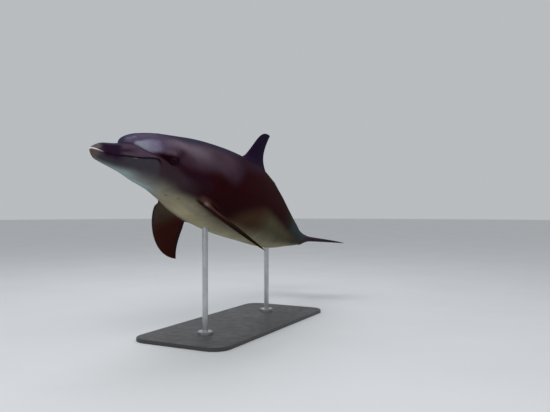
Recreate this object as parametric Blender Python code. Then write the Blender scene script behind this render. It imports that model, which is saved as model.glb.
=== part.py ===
"""Bottlenose dolphin, life size, in a swimming pose on a plain display stand.

The animal is first laid out straight. A place on it is (station, side, height), each in
percent of its length: the station runs back from the tip of the beak, the side is positive
to the animal's left, and the height is positive upwards. pose() bends the straight animal
along its spine and sets it over the stand: the trunk heads -X and the left side faces -Y.

The body is one loft, built in four lengths. Thin cuts part the jaws from the head, and
each fin is a solid of its own that stops just short of the body.
"""
import bpy
import bmesh
import numpy as np
from math import cos, pi, radians, sin

# ---- driving dimensions -------------------------------------------------------------
LENGTH = 2.50              # tip of the beak to the notch of the flukes, metres
PERCENT = LENGTH / 100
GAP = 0.0003               # air between pieces that touch, metres
CUT = 0.0004               # width of a parting cut, metres

# Trunk and melon: station, top, bottom, half width, height of the widest line
TRUNK = [
    (4.0, 3.75, 1.60, 2.30, 2.30),
    (8.0, 4.55, -0.60, 3.20, 2.50),
    (11.0, 5.30, -3.20, 4.10, 1.60),
    (14.5, 5.95, -5.10, 5.05, 0.40),
    (18.0, 6.50, -6.20, 6.00, -0.20),
    (22.0, 7.35, -7.20, 7.00, -0.35),
    (30.0, 8.70, -8.65, 8.05, -0.40),
    (40.0, 9.65, -9.35, 8.10, -0.35),
    (50.0, 9.40, -9.40, 7.30, -0.30),
    (60.0, 7.70, -9.45, 5.90, -0.70),
    (70.0, 5.45, -8.20, 4.20, -0.90),
    (80.0, 4.15, -5.30, 2.70, -0.45),
    (88.0, 3.00, -3.00, 1.60, 0.00),
    (94.0, 1.50, -1.85, 0.95, 0.00),
    (100.0, 1.10, -0.95, 0.60, 0.00),
]
MELON_START = 5.75         # the crease between beak and melon, on the midline
MELON_RISE = 3.4           # over which the melon's brow reaches its full height
MELON_SPREAD = 6.4         # over which it reaches its full width
KEEL_START, KEEL_FULL, KEEL = 55.0, 85.0, 1.6    # the tail stock's pinched top and bottom
TAIL_START, TAIL_END = 93.0, 98.0                # where the tail stock rounds off

# Beak, both jaws together: station, top, bottom, half width
BEAK = [
    (0.0, 0.92, -0.80, 0.85),
    (0.6, 1.12, -1.22, 1.12),
    (2.0, 1.52, -1.76, 1.42),
    (4.0, 1.86, -2.25, 1.68),
    (5.5, 2.22, -2.60, 1.95),
    (7.5, 3.05, -3.10, 2.52),
    (9.3, 3.25, -3.72, 3.05),
    (11.4, 3.10, -4.30, 3.70),
    (15.0, 2.40, -4.40, 4.35),
    (18.0, 1.80, -4.20, 4.60),
]
BEAK_START = -0.2          # the very tip: the lower jaw stands a little ahead
BEAK_TIP = {"upper": 2.3, "lower": 1.6, "wide": 1.9}     # lengths over which the tip rounds off
BEAK_FADE = (11.6, 18.5)   # where the beak's form sinks into the trunk's
CREASE_BLEND = (0.45, 1.65)                      # softness of the crease, front and back
CREASE_FADE = (6.5, 15.0)
# The melon overhangs the upper jaw: below this line its side is drawn in, over these stations
CREASE_LINE = [(5.0, 2.40), (6.5, 2.45), (7.5, 2.25), (8.5, 1.90), (9.75, 1.50), (11.2, 1.22),
               (12.4, 0.98), (14.0, 0.75)]
UNDERCUT, UNDERCUT_EDGE = 0.50, 0.50             # how far in, and over what height
UNDERCUT_GROW, UNDERCUT_FADE = (6.0, 8.0), (10.5, 14.0)

# Height of the lip line, and behind the corner of the mouth of the sections' centres
CORNER = 11.85
LIP_LINE = [(-0.3, 0.05), (2.0, -0.32), (5.0, -0.36), (7.6, -0.24), (9.4, 0.10), (10.8, 0.32)]
CENTRES = LIP_LINE + [(14.6, 0.5), (18, 0.25), (30, -0.1), (50, 0), (70, -0.8), (82, -0.4),
                      (94, 0), (100, 0)]

# Spine: from and to stations, then how the heading turns over them, going backwards:
# degrees nose-up and degrees to the left. Both are nought at the trunk's own heading.
TRUNK_PITCH = 13.2
TRUNK_STATION = 25.0
BENDS = [
    (12.0, 25.0, 5.7, 10.3),
    (25.0, 55.0, -3.4, 4.3),
    (55.0, 80.0, 9.4, 3.0),
    (80.0, 97.0, -11.4, 5.8),
]
MIDDLE_STATION = 50.0
MIDDLE_PLACE = np.array([0.075, 0.0, 0.72])        # where the axis passes at that station

# Parting planes across the body, and the eyes
NECK, WAIST, TAIL_ROOT = 19.0, 45.0, 72.0
EYE = (14.85, 4.70, 0.62)
EYE_RADIUS = 0.016

# Fins: corners of the leading and trailing edges' curves. A dorsal fin's are (station,
# height), a fluke's (station, side), a flipper's (back from its root, out from the body).
DORSAL_LEAD = [(43.8, 8.95), (51.4, 12.25), (54.4, 20.65), (61.35, 20.1)]
DORSAL_TRAIL = [(71.0, 4.7), (57.6, 10.6), (55.65, 11.4), (61.35, 20.1)]
FLUKE_LEAD = [(89.8, 0.0), (92.8, 3.1), (95.4, 11.3), (101.8, 12.8)]
FLUKE_TRAIL = [(99.7, 0.0), (101.6, 3.0), (99.6, 8.5), (101.8, 12.8)]
FLIPPER_LEAD = [(-2.6, -1.0), (-4.0, 2.9), (-2.1, 13.9), (3.55, 15.5)]
FLIPPER_TRAIL = [(3.3, -1.0), (6.2, 3.35), (2.4, 8.2), (3.55, 15.5)]
# How each flipper is held: its root, then where it reaches out to and where its trailing
# edge lies, both as parts forward, to the left and up. The right one hangs lower.
FLIPPERS = {
    "left": ((24.8, 4.9, -6.0), (-0.57, 0.67, -0.49), (-0.81, -0.55, 0.19)),
    "right": ((25.5, -4.9, -6.0), (-0.60, -0.45, -0.66), (-0.75, 0.60, 0.28)),
}
FLUKE_DROOP = (0.03, -0.06)                     # the flukes' height, at the root and per side
THICKNESS = {"dorsal": 0.13, "fluke": 0.14, "flipper": 0.13}     # of each fin, over its chord
FLARE = {"dorsal": 0.5, "fluke": 0.9, "flipper": 0.4}            # how much it swells at its root
FLARE_REACH = 0.12         # of its span
FIN_EDGE = 0.0012          # half thickness of a fin's trailing edge, metres

# Stand
BASE_SIZE = (1.30, 0.56, 0.020)
BASE_CORNER = 0.09
BASE_BEVEL = 0.003
ROD_RADIUS = 0.015
ROD_STATIONS = {"front": 33.0, "rear": 65.0}
ROD_IN_BODY = 0.060        # how far a rod reaches up into the body
ROD_IN_BASE = 0.012
COLLAR_RADIUS, COLLAR_HEIGHT, COLLAR_BEVEL = 0.040, 0.016, 0.003

# Mesh density
SIDES = 36
BALL_SIDES, RING_SIDES, CORNER_STEPS = 16, 32, 6
FIN_SPAN, FIN_CHORD = 10, 9


# ---- curves and sections ------------------------------------------------------------
def smooth_step(start, end, x):
    t = np.clip((x - start) / (end - start), 0, 1)
    return t * t * (3 - 2 * t)


def spline(knots_x, knots_y, x):
    """A natural cubic spline through the knots, straight beyond the ends."""
    kx, ky = np.array(knots_x, float), np.array(knots_y, float)
    step, last = np.diff(kx), len(kx) - 1
    slope = np.diff(ky) / step
    rows, right = np.eye(len(kx)), np.zeros(len(kx))
    for i in range(1, last):
        rows[i, i - 1:i + 2] = step[i - 1], 2 * (step[i - 1] + step[i]), step[i]
        right[i] = 6 * (slope[i] - slope[i - 1])
    bend = np.linalg.solve(rows, right)
    inside = np.clip(x, kx[0], kx[-1])
    i = np.clip(np.searchsorted(kx, inside) - 1, 0, last - 1)
    b = (inside - kx[i]) / step[i]
    a = 1 - b
    curve = a * ky[i] + b * ky[i + 1]
    curve += ((a ** 3 - a) * bend[i] + (b ** 3 - b) * bend[i + 1]) * step[i] ** 2 / 6
    first_slope = slope[0] - step[0] * bend[1] / 6
    last_slope = slope[-1] + step[-1] * bend[-2] / 6
    return curve + np.minimum(x - kx[0], 0) * first_slope + np.maximum(x - kx[-1], 0) * last_slope


def column(table, number, station):
    """One column of a table of stations, read off at a station."""
    columns = list(zip(*table))
    return spline(columns[0], columns[number], station)


def nose(station, start, length):
    """Grows from 0 to 1 as an ellipse does from its tip."""
    x = np.clip((station - start) / length, 0, 1)
    return np.maximum(np.sqrt(1 - (1 - x) ** 2), 1e-3)


def oval(side, height, top, bottom, half, widest, power, keel):
    """Below 0 inside an oval section and above 0 outside it, about as a distance."""
    reach = np.maximum(np.where(height > widest, top - widest, widest - bottom), 0.01)
    across = (np.abs(side) / half) ** (power / keel)
    up = (np.abs(height - widest) / reach) ** power
    return ((across + up) ** (1 / power) - 1) * np.minimum((top - bottom) / 2, half)


def section(station):
    """The level function of the body's cross sections at a column of stations."""
    top, bottom, half, widest = (column(TRUNK, k, station) for k in range(1, 5))
    rise = nose(station, MELON_START, MELON_RISE)
    spread = nose(station, MELON_START, MELON_SPREAD)
    keel = 1 + (KEEL - 1) * smooth_step(KEEL_START, KEEL_FULL, station)
    tail = nose(TAIL_START + TAIL_END - station, TAIL_START, TAIL_END - TAIL_START)
    trunk_top = widest + (top - widest) * rise * tail
    trunk_bottom = widest + (bottom - widest) * rise * tail
    beak_top, beak_bottom, beak_half = (column(BEAK, k, station) for k in range(1, 4))
    lips = column(CENTRES, 1, station)
    upper, lower, wide = (nose(station, BEAK_START, BEAK_TIP[k]) for k in ("upper", "lower", "wide"))
    blend = CREASE_BLEND[0] + (CREASE_BLEND[1] - CREASE_BLEND[0]) * smooth_step(*CREASE_FADE, station)
    crease = column(CREASE_LINE, 1, station)
    undercut = UNDERCUT * smooth_step(*UNDERCUT_GROW, station) * smooth_step(*UNDERCUT_FADE[::-1], station)
    far = 9.0

    def level(side, height):
        trunk = oval(side, height, trunk_top, trunk_bottom, half * spread * tail, widest, 2.0, keel)
        trunk = trunk + undercut * smooth_step(crease + UNDERCUT_EDGE, crease - UNDERCUT_EDGE, height)
        trunk = np.where(station > MELON_START, trunk, far)
        beak = oval(side, height, lips + (beak_top - lips) * upper,
                    lips + (beak_bottom - lips) * lower, beak_half * wide, lips, 2.3, 1.0)
        beak = np.where(station < BEAK_FADE[1], beak + 2 * smooth_step(*BEAK_FADE, station), far)
        near = np.maximum(blend - np.abs(trunk - beak), 0) / blend
        return np.minimum(trunk, beak) - near * near * blend / 4

    return level


def body_rings(stations, sides, swell=0.0):
    """Rings of straight-body points, each from the belly up the left side and down the right.

    Each point is found by halving along a ray from the section's centre, whose height is
    the lip line's in the beak, so that one row of points runs along the lips.
    """
    station = np.array(stations, float)[:, None]
    angle = np.linspace(-pi / 2, pi / 2, sides // 2 + 1)[None]
    centre = column(CENTRES, 1, station)
    level = section(station)
    across, up = np.cos(angle), np.sin(angle)
    near, far = np.zeros(across.shape) + 0 * station, np.full((len(station), across.size), 16.0)
    for _ in range(30):
        middle = (near + far) / 2
        inside = level(middle * across, centre + middle * up) < 0
        near, far = np.where(inside, middle, near), np.where(inside, far, middle)
    radius = (near + far) / 2 + swell / PERCENT
    side = radius * across
    side[:, 0] = side[:, -1] = 0
    left = np.stack([station + 0 * side, side, centre + radius * up], -1)
    right = left[:, -2:0:-1] * (1, -1, 1)
    return np.concatenate([left, right], 1)


# ---- pose ---------------------------------------------------------------------------
def heading(station):
    """Pitch and turn of the body at a station, in radians."""
    pitch, turn = TRUNK_PITCH + 0 * station, 0 * station
    for start, end, nose_up, to_left in BENDS:
        done = smooth_step(start, end, station) - (end <= TRUNK_STATION)
        pitch = pitch + nose_up * done
        turn = turn + to_left * done
    return np.radians(pitch), np.radians(turn)


def spine():
    """Stations along the spine and the axis's place at each, from small steps backwards."""
    stations = np.arange(-10, 112, 0.25)
    pitch, turn = heading(stations)
    back = np.stack([np.cos(pitch) * np.cos(turn), np.cos(pitch) * np.sin(turn), -np.sin(pitch)], -1)
    steps = (back[1:] + back[:-1]) / 2 * np.diff(stations)[:, None] * PERCENT
    places = np.vstack([np.zeros(3), np.cumsum(steps, 0)])
    return stations, places + MIDDLE_PLACE - places[stations.searchsorted(MIDDLE_STATION)]


SPINE_STATIONS, SPINE_PLACES = spine()


def frame_at(station):
    """The axis's place at a station, and the body's left and up directions there."""
    pitch, turn = heading(station)
    left = np.stack([np.sin(turn), -np.cos(turn), 0 * turn], -1)
    up = np.stack([np.sin(pitch) * np.cos(turn), np.sin(pitch) * np.sin(turn), np.cos(pitch)], -1)
    place = np.stack([np.interp(station, SPINE_STATIONS, SPINE_PLACES[:, k]) for k in range(3)], -1)
    return place, left, up


def pose(points):
    """Straight-body points, in percent, to their places over the stand, in metres."""
    points = np.asarray(points, float)
    place, left, up = frame_at(points[..., 0])
    return place + (points[..., 1:2] * left + points[..., 2:3] * up) * PERCENT


# ---- meshes -------------------------------------------------------------------------
def add_object(name, verts, faces):
    mesh = bpy.data.meshes.new(name)
    mesh.from_pydata([tuple(v) for v in verts], [], faces)
    obj = bpy.data.objects.new(name, mesh)
    bpy.context.collection.objects.link(obj)
    return obj


def face_outwards(mesh):
    bm = bmesh.new()
    bm.from_mesh(mesh)
    bmesh.ops.recalc_face_normals(bm, faces=bm.faces)
    bm.to_mesh(mesh)
    bm.free()


def tube(name, rings, first=None, last=None):
    """A closed body through rings of points; first and last are end points, or flat ends."""
    count, sides = rings.shape[:2]
    verts = [p for ring in rings for p in ring]
    faces = []
    for i in range(count - 1):
        for j in range(sides):
            k = (j + 1) % sides
            here, onward = i * sides, (i + 1) * sides
            faces += [(here + j, here + k, onward + k), (here + j, onward + k, onward + j)]
    for end, start in ((first, 0), (last, (count - 1) * sides)):
        ring = [start + j for j in range(sides)]
        if end is None:
            faces.append(ring)
            continue
        verts.append(end)
        faces += [(ring[j], ring[(j + 1) % sides], len(verts) - 1) for j in range(sides)]
    obj = add_object(name, verts, faces)
    face_outwards(obj.data)
    return obj


def body(name, start, end, swell=0.0):
    """A length of the body; it is pointed at the tip of the beak and of the tail stock."""
    stations = np.concatenate([
        BEAK_START + BEAK_TIP["wide"] * (1 - np.cos(np.linspace(0.14, 0.5, 5) * pi)),
        np.linspace(2.5, MELON_START - 0.15, 5),
        MELON_START + MELON_RISE * (1 - np.cos(np.linspace(0.06, 0.5, 7) * pi)),
        np.linspace(9.6, 18.0, 9),
        np.linspace(20.5, 90.0, 21),
        np.linspace(92.0, TAIL_END - 0.6, 4)])
    partings = np.array([NECK, WAIST, TAIL_ROOT])
    clear = CUT / 2 / PERCENT
    stations = np.sort(np.concatenate([stations, partings - clear, partings + clear]))
    stations = stations[(stations > start) & (stations < end)]
    first = last = None
    if start == 0:
        first = pose((BEAK_START - swell / PERCENT, 0, LIP_LINE[0][1]))
    if end == TAIL_END:
        last = pose((TAIL_END + swell / PERCENT, 0, 0))
    return tube(name, pose(body_rings(stations, SIDES, swell)), first, last)


def cylinder(name, radius, bottom, top, centre):
    turns = np.arange(RING_SIDES) * 2 * pi / RING_SIDES
    ring = np.stack([centre[0] + radius * np.cos(turns), centre[1] + radius * np.sin(turns)], -1)
    rings = np.stack([np.column_stack([ring, np.full(RING_SIDES, z)]) for z in (bottom, top)])
    return tube(name, rings)


def ball(name, radius, centre):
    """A ball from a half circle spun about its own diameter."""
    tilts = np.linspace(-pi / 2, pi / 2, BALL_SIDES // 2 + 1)[1:-1]
    turns = np.arange(BALL_SIDES) * 2 * pi / BALL_SIDES
    rings = np.array([[(cos(t) * cos(a), cos(t) * sin(a), sin(t)) for a in turns] for t in tilts])
    pole = np.array([0, 0, radius])
    return tube(name, centre + radius * rings, centre - pole, centre + pole)


def ribbon(name, path, half_width=12.0):
    """A parting cutter: a thin wall over a path of (station, height), right across the body."""
    path = np.array(path, float)
    along = np.gradient(path, axis=0)
    along /= np.linalg.norm(along, axis=1)[:, None]
    offset = np.stack([-along[:, 1], along[:, 0]], -1) * CUT / PERCENT / 2
    lower, upper = (pose(np.insert(path + side * offset, 1, 0, axis=1)) for side in (-1, 1))
    _, left, _ = frame_at(path[:, 0].mean())
    across = left * half_width * PERCENT
    return as_cutter(tube(name, np.stack([lower - across, lower + across,
                                          upper + across, upper - across], 1)))


def as_cutter(obj):
    obj.hide_render = True
    obj.display_type = "WIRE"
    return obj


def cut(obj, cutter):
    modifier = obj.modifiers.new("cut", "BOOLEAN")
    modifier.operation = "DIFFERENCE"
    modifier.solver = "EXACT"
    modifier.object = cutter


def settle(obj):
    """Make the object's modifiers final in its mesh."""
    graph = bpy.context.evaluated_depsgraph_get()
    mesh = bpy.data.meshes.new_from_object(obj.evaluated_get(graph))
    obj.modifiers.clear()
    obj.data = mesh


def split(obj, names):
    """Part an object's separate bodies; names gives each one's name and a point near its middle."""
    bm = bmesh.new()
    bm.from_mesh(obj.data)
    waiting = set(bm.verts)
    pieces = {}
    while waiting:
        island, edge = set(), [waiting.pop()]
        while edge:
            vert = edge.pop()
            island.add(vert)
            near = {e.other_vert(vert) for e in vert.link_edges} & waiting
            waiting -= near
            edge += near
        middle = np.mean([tuple(v.co) for v in island], 0)
        name = min(names, key=lambda n: np.linalg.norm(pose(names[n]) - middle))
        order = {v: i for i, v in enumerate(island)}
        faces = [[order[v] for v in f.verts] for f in bm.faces if f.verts[0] in order]
        pieces[name] = add_object(name, [v.co for v in island], faces)
    bm.free()
    bpy.data.objects.remove(obj)
    return pieces


# ---- fins ---------------------------------------------------------------------------
def bezier(corners, t):
    a, b, c, d = (np.array(p, float) for p in corners)
    t = t[:, None]
    return (1 - t) ** 3 * a + 3 * (1 - t) ** 2 * t * b + 3 * (1 - t) * t ** 2 * c + t ** 3 * d


def fin_rings(kind, lead, trail):
    """Rings of (chord, span, half thickness) points round a fin, from its root to its tip."""
    span = np.sin(np.linspace(0, 0.47, FIN_SPAN) * pi)
    x = (1 - np.cos(np.linspace(0, 1, FIN_CHORD) * pi)) / 2
    swell = 2.6 * np.sqrt(x) * (1 - x)
    edge = FIN_EDGE / PERCENT * np.sqrt(x * (1 - x ** 8))
    rings = []
    for a, b, s in zip(bezier(lead, span), bezier(trail, span), span):
        flare = 1 + FLARE[kind] * np.exp(-s / FLARE_REACH)
        half = np.linalg.norm(b - a) * THICKNESS[kind] / 2 * flare * swell + edge
        line = a + (b - a) * x[:, None]
        upper, lower = np.column_stack([line, half]), np.column_stack([line, -half])
        rings.append(np.vstack([upper, lower[-2:0:-1]]))
    return np.array(rings)


def fin(name, kind, lead, trail, place, body_clear):
    """One fin as a closed body that stops just short of the body's surface.

    place() takes points of chord, span and thickness to their places over the stand.
    """
    rings = fin_rings(kind, lead, trail)
    obj = tube(name, place(rings), None, place(np.array([*lead[-1], 0.0])))
    cut(obj, body_clear)
    settle(obj)
    return obj


def dorsal_fin(body_clear):
    return fin("dorsal_fin", "dorsal", DORSAL_LEAD, DORSAL_TRAIL,
               lambda points: pose(points[..., (0, 2, 1)]), body_clear)


def fluke(side, body_clear):
    """One fluke, which meets the other along the middle behind the tail stock."""
    sign = 1 if side == "left" else -1

    def place(points):
        back, out, up = np.moveaxis(points, -1, 0)
        height = up + FLUKE_DROOP[0] + FLUKE_DROOP[1] * out
        return pose(np.stack([back, sign * (out + GAP / 2 / PERCENT), height], -1))

    return fin("fluke_" + side, "fluke", FLUKE_LEAD, FLUKE_TRAIL, place, body_clear)


def flipper(side, body_clear):
    root, outward, backward = FLIPPERS[side]
    _, left, up = frame_at(np.array(TRUNK_STATION))
    axes = np.array([np.cross(left, up), left, up])
    span = outward @ axes
    span /= np.linalg.norm(span)
    chord = backward @ axes
    chord -= span * (chord @ span)
    chord /= np.linalg.norm(chord)
    turn = np.array([chord, span, np.cross(chord, span)])
    return fin("flipper_" + side, "flipper", FLIPPER_LEAD, FLIPPER_TRAIL,
               lambda points: pose(root) + points @ turn * PERCENT, body_clear)


# ---- body pieces --------------------------------------------------------------------
def head_pieces(sockets):
    """The head, parted into the two jaws and the rest along the lips and the melon's crease."""
    whole = body("head_whole", 0, NECK)
    lips = [(-2.0, LIP_LINE[0][1])]
    lips += [(u, float(column(LIP_LINE, 1, np.array(u)))) for u in np.linspace(-0.3, 10.8, 15)]
    lips += [(11.35, 0.34), (CORNER, 0.15), (12.2, -0.25), (12.4, -1.2), (12.45, -9.0)]
    crease = [(MELON_START - 1.4, 3.3), (MELON_START, 2.3), (7.2, 2.27), (8.2, 1.98), (9.0, 1.63),
              (9.8, 1.28), (10.9, 0.92), (11.6, 0.6), (11.9, 0.22), (11.95, -0.12)]
    for cutter in [ribbon("cut_lips", lips), ribbon("cut_crease", crease)] + sockets:
        cut(whole, cutter)
    settle(whole)
    split(whole, {"upper_jaw": (6, 0, 0.8), "lower_jaw": (8, 0, -2), "head": (14, 0, 1)})


def eye_place(sign):
    return pose((EYE[0], sign * EYE[1], EYE[2]))


def rod_place(end):
    """Where a rod's axis meets the belly's surface."""
    station = ROD_STATIONS[end]
    return pose((station, 0, column(TRUNK, 2, np.array(station))))


def rod(end):
    top = rod_place(end)
    bottom = BASE_SIZE[2] - ROD_IN_BASE
    return cylinder("stand_rod_" + end, ROD_RADIUS, bottom, top[2] + ROD_IN_BODY, top)


def rod_clearance(end):
    top = rod_place(end)
    bottom = BASE_SIZE[2] - ROD_IN_BASE
    return as_cutter(cylinder("clear_rod_" + end, ROD_RADIUS + GAP, bottom - GAP,
                              top[2] + ROD_IN_BODY + GAP, top))


def collar(end):
    """A ring round the foot of a rod: a profile spun about the rod."""
    place = rod_place(end)
    inner, outer, bevel = ROD_RADIUS + GAP, COLLAR_RADIUS, COLLAR_BEVEL
    foot = BASE_SIZE[2] + GAP
    head = foot + COLLAR_HEIGHT
    profile = [(inner, foot), (outer, foot), (outer, head - bevel), (outer - bevel, head), (inner, head)]
    turns = np.arange(RING_SIDES) * 2 * pi / RING_SIDES
    rings = np.array([[(place[0] + r * cos(a), place[1] + r * sin(a), z) for r, z in profile]
                      for a in turns])
    sides = len(profile)
    faces = []
    for i in range(RING_SIDES):
        here, onward = i * sides, (i + 1) % RING_SIDES * sides
        for j in range(sides):
            k = (j + 1) % sides
            faces.append((here + j, here + k, onward + k, onward + j))
    obj = add_object("stand_collar_" + end, rings.reshape(-1, 3), faces)
    face_outwards(obj.data)
    return obj


def stand_base():
    """A flat plate with round corners, softened edges and a blind hole for each rod."""
    length, width, thick = BASE_SIZE
    corner = []
    for sx, sy, start in ((1, 1, 0), (-1, 1, 90), (-1, -1, 180), (1, -1, 270)):
        for step in range(CORNER_STEPS + 1):
            a = radians(start + step * 90 / CORNER_STEPS)
            corner.append((sx * (length / 2 - BASE_CORNER) + BASE_CORNER * cos(a),
                           sy * (width / 2 - BASE_CORNER) + BASE_CORNER * sin(a)))
    levels = [(0.0, BASE_BEVEL), (BASE_BEVEL, 0.0), (thick - BASE_BEVEL, 0.0), (thick, BASE_BEVEL)]
    rings = []
    for z, inset in levels:
        shrink = (1 - 2 * inset / length, 1 - 2 * inset / width)
        rings.append([(x * shrink[0], y * shrink[1], z) for x, y in corner])
    return tube("stand_base", np.array(rings))


# ---- materials ----------------------------------------------------------------------
LOOKS = {
    "skin_dark": ((0.115, 0.085, 0.100), 0.42, 0.0),
    "skin_fin": ((0.065, 0.045, 0.055), 0.40, 0.0),
    "skin_jaw": ((0.190, 0.170, 0.170), 0.42, 0.0),
    "eye": ((0.012, 0.010, 0.010), 0.08, 0.0),
    "base": ((0.060, 0.062, 0.066), 0.55, 0.0),
    "steel": ((0.560, 0.570, 0.580), 0.28, 1.0),
}


def finish(obj, look):
    colour, roughness, metallic = LOOKS[look]
    material = bpy.data.materials.new(obj.name)
    material.use_nodes = True
    shader = material.node_tree.nodes["Principled BSDF"]
    shader.inputs["Base Color"].default_value = (*colour, 1)
    shader.inputs["Roughness"].default_value = roughness
    shader.inputs["Metallic"].default_value = metallic
    obj.data.materials.clear()
    obj.data.materials.append(material)
    obj.data.shade_smooth()
    obj.data.set_sharp_from_angle(angle=radians(40))


# ---- the model ----------------------------------------------------------------------
def main():
    for obj in list(bpy.data.objects):
        bpy.data.objects.remove(obj, do_unlink=True)

    sockets = [as_cutter(ball("clear_eye_" + side, EYE_RADIUS + GAP, eye_place(sign)))
               for side, sign in (("left", 1), ("right", -1))]
    head_pieces(sockets)
    ends = list(ROD_STATIONS)
    rod_clears = [rod_clearance(end) for end in ends]
    for name, start, end, clear in (("thorax", NECK, WAIST, rod_clears[0]),
                                    ("abdomen", WAIST, TAIL_ROOT, rod_clears[1])):
        piece = body(name, start, end)
        cut(piece, clear)
        settle(piece)
    body("tail_stock", TAIL_ROOT, TAIL_END)

    body_clear = as_cutter(body("clear_body", 0, TAIL_END, swell=GAP * 1.3))
    dorsal_fin(body_clear)
    for side, sign in (("left", 1), ("right", -1)):
        fluke(side, body_clear)
        flipper(side, body_clear)
        ball("eye_" + side, EYE_RADIUS, eye_place(sign))
    for end in ends:
        rod(end)
        collar(end)
    base = stand_base()
    for clear in rod_clears:
        cut(base, clear)
    settle(base)

    looks = {"upper_jaw": "skin_jaw", "lower_jaw": "skin_jaw", "dorsal_fin": "skin_fin",
             "stand_base": "base"}
    for kind, look in (("eye", "eye"), ("flipper", "skin_fin"), ("fluke", "skin_fin"),
                       ("stand_rod", "steel"), ("stand_collar", "steel")):
        looks.update({o.name: look for o in bpy.data.objects if o.name.startswith(kind)})
    for obj in bpy.data.objects:
        if not obj.hide_render:
            finish(obj, looks.get(obj.name, "skin_dark"))


main()
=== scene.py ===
"""The looks of a life-size bottlenose dolphin on a plain display stand.

The dolphin's flesh is one skin. It is laid out straight, as the CAD is: a place on it is
(station, side, height) in percent of the animal's length, and pose() bends it over the
stand. Body and fins are lofted finely, joined, and softened where they meet. The relief of
the head is pressed into the straight body, and the skin's markings, with some painted
highlights, sheen and shade among them, are worked out on it.
"""

from math import cos, pi, radians, sin

import bmesh
import bpy
import numpy as np
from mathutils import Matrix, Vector
from mathutils.bvhtree import BVHTree


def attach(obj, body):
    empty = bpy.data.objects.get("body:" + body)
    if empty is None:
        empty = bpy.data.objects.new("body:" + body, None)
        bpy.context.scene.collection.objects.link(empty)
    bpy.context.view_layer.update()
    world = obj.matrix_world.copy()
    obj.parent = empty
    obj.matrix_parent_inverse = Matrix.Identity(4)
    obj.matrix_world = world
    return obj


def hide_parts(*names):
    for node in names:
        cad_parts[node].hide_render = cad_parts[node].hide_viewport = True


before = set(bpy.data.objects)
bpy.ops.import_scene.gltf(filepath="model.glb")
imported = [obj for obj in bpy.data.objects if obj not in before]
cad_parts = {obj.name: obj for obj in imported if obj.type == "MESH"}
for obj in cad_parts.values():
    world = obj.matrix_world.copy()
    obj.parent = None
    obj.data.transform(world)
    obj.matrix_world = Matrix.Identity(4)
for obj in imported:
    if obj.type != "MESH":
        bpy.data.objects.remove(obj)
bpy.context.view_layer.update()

# ---- the form, as in the CAD -----------------------------------------
LENGTH = 2.50
PERCENT = LENGTH / 100
MM = 0.1 / LENGTH          # one millimetre, in percent of the length

# Trunk and melon: station, top, bottom, half width, height of the widest line
TRUNK = [
    (4.0, 3.75, 1.60, 2.30, 2.30),
    (8.0, 4.55, -0.60, 3.20, 2.50),
    (11.0, 5.30, -3.20, 4.10, 1.60),
    (14.5, 5.95, -5.10, 5.05, 0.40),
    (18.0, 6.50, -6.20, 6.00, -0.20),
    (22.0, 7.35, -7.20, 7.00, -0.35),
    (30.0, 8.70, -8.65, 8.05, -0.40),
    (40.0, 9.65, -9.35, 8.10, -0.35),
    (50.0, 9.40, -9.40, 7.30, -0.30),
    (60.0, 7.70, -9.45, 5.90, -0.70),
    (70.0, 5.45, -8.20, 4.20, -0.90),
    (80.0, 4.15, -5.30, 2.70, -0.45),
    (88.0, 3.00, -3.00, 1.60, 0.00),
    (94.0, 1.50, -1.85, 0.95, 0.00),
    (100.0, 1.10, -0.95, 0.60, 0.00),
]
MELON_START, MELON_RISE, MELON_SPREAD = 5.75, 3.4, 6.4
KEEL_START, KEEL_FULL, KEEL = 55.0, 85.0, 1.6
TAIL_START, TAIL_END = 93.0, 98.0

# Beak, both jaws together: station, top, bottom, half width
BEAK = [
    (0.0, 0.92, -0.80, 0.85),
    (0.6, 1.12, -1.22, 1.12),
    (2.0, 1.52, -1.76, 1.42),
    (4.0, 1.86, -2.25, 1.68),
    (5.5, 2.22, -2.60, 1.95),
    (7.5, 3.05, -3.10, 2.52),
    (9.3, 3.25, -3.72, 3.05),
    (11.4, 3.10, -4.30, 3.70),
    (15.0, 2.40, -4.40, 4.35),
    (18.0, 1.80, -4.20, 4.60),
]
BEAK_START = -0.2
BEAK_TIP = {"upper": 2.3, "lower": 1.6, "wide": 1.9}
BEAK_FADE = (11.6, 18.5)
CREASE_BLEND, CREASE_FADE = (0.45, 1.65), (6.5, 15.0)
CREASE_LINE = [(5.0, 2.40), (6.5, 2.45), (7.5, 2.25), (8.5, 1.90), (9.75, 1.50), (11.2, 1.22),
               (12.4, 0.98), (14.0, 0.75)]
UNDERCUT, UNDERCUT_EDGE = 0.50, 0.50
UNDERCUT_GROW, UNDERCUT_FADE = (6.0, 8.0), (10.5, 14.0)
LIP_LINE = [(-0.3, 0.05), (2.0, -0.32), (5.0, -0.36), (7.6, -0.24), (9.4, 0.10), (10.8, 0.32)]
CENTRES = LIP_LINE + [(14.6, 0.5), (18, 0.25), (30, -0.1), (50, 0), (70, -0.8), (82, -0.4),
                      (94, 0), (100, 0)]

TRUNK_POWER, BEAK_POWER = 2.0, 2.3
FAR = 9.0                  # a level well outside, where a form has ended

TRUNK_PITCH, TRUNK_STATION = 13.2, 25.0
BENDS = [
    (12.0, 25.0, 5.7, 10.3),
    (25.0, 55.0, -3.4, 4.3),
    (55.0, 80.0, 9.4, 3.0),
    (80.0, 97.0, -11.4, 5.8),
]
MIDDLE_STATION, MIDDLE_PLACE = 50.0, np.array([0.075, 0.0, 0.72])

EYE = np.array([14.85, 4.70, 0.62])
EYE_RADIUS = 0.016

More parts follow.
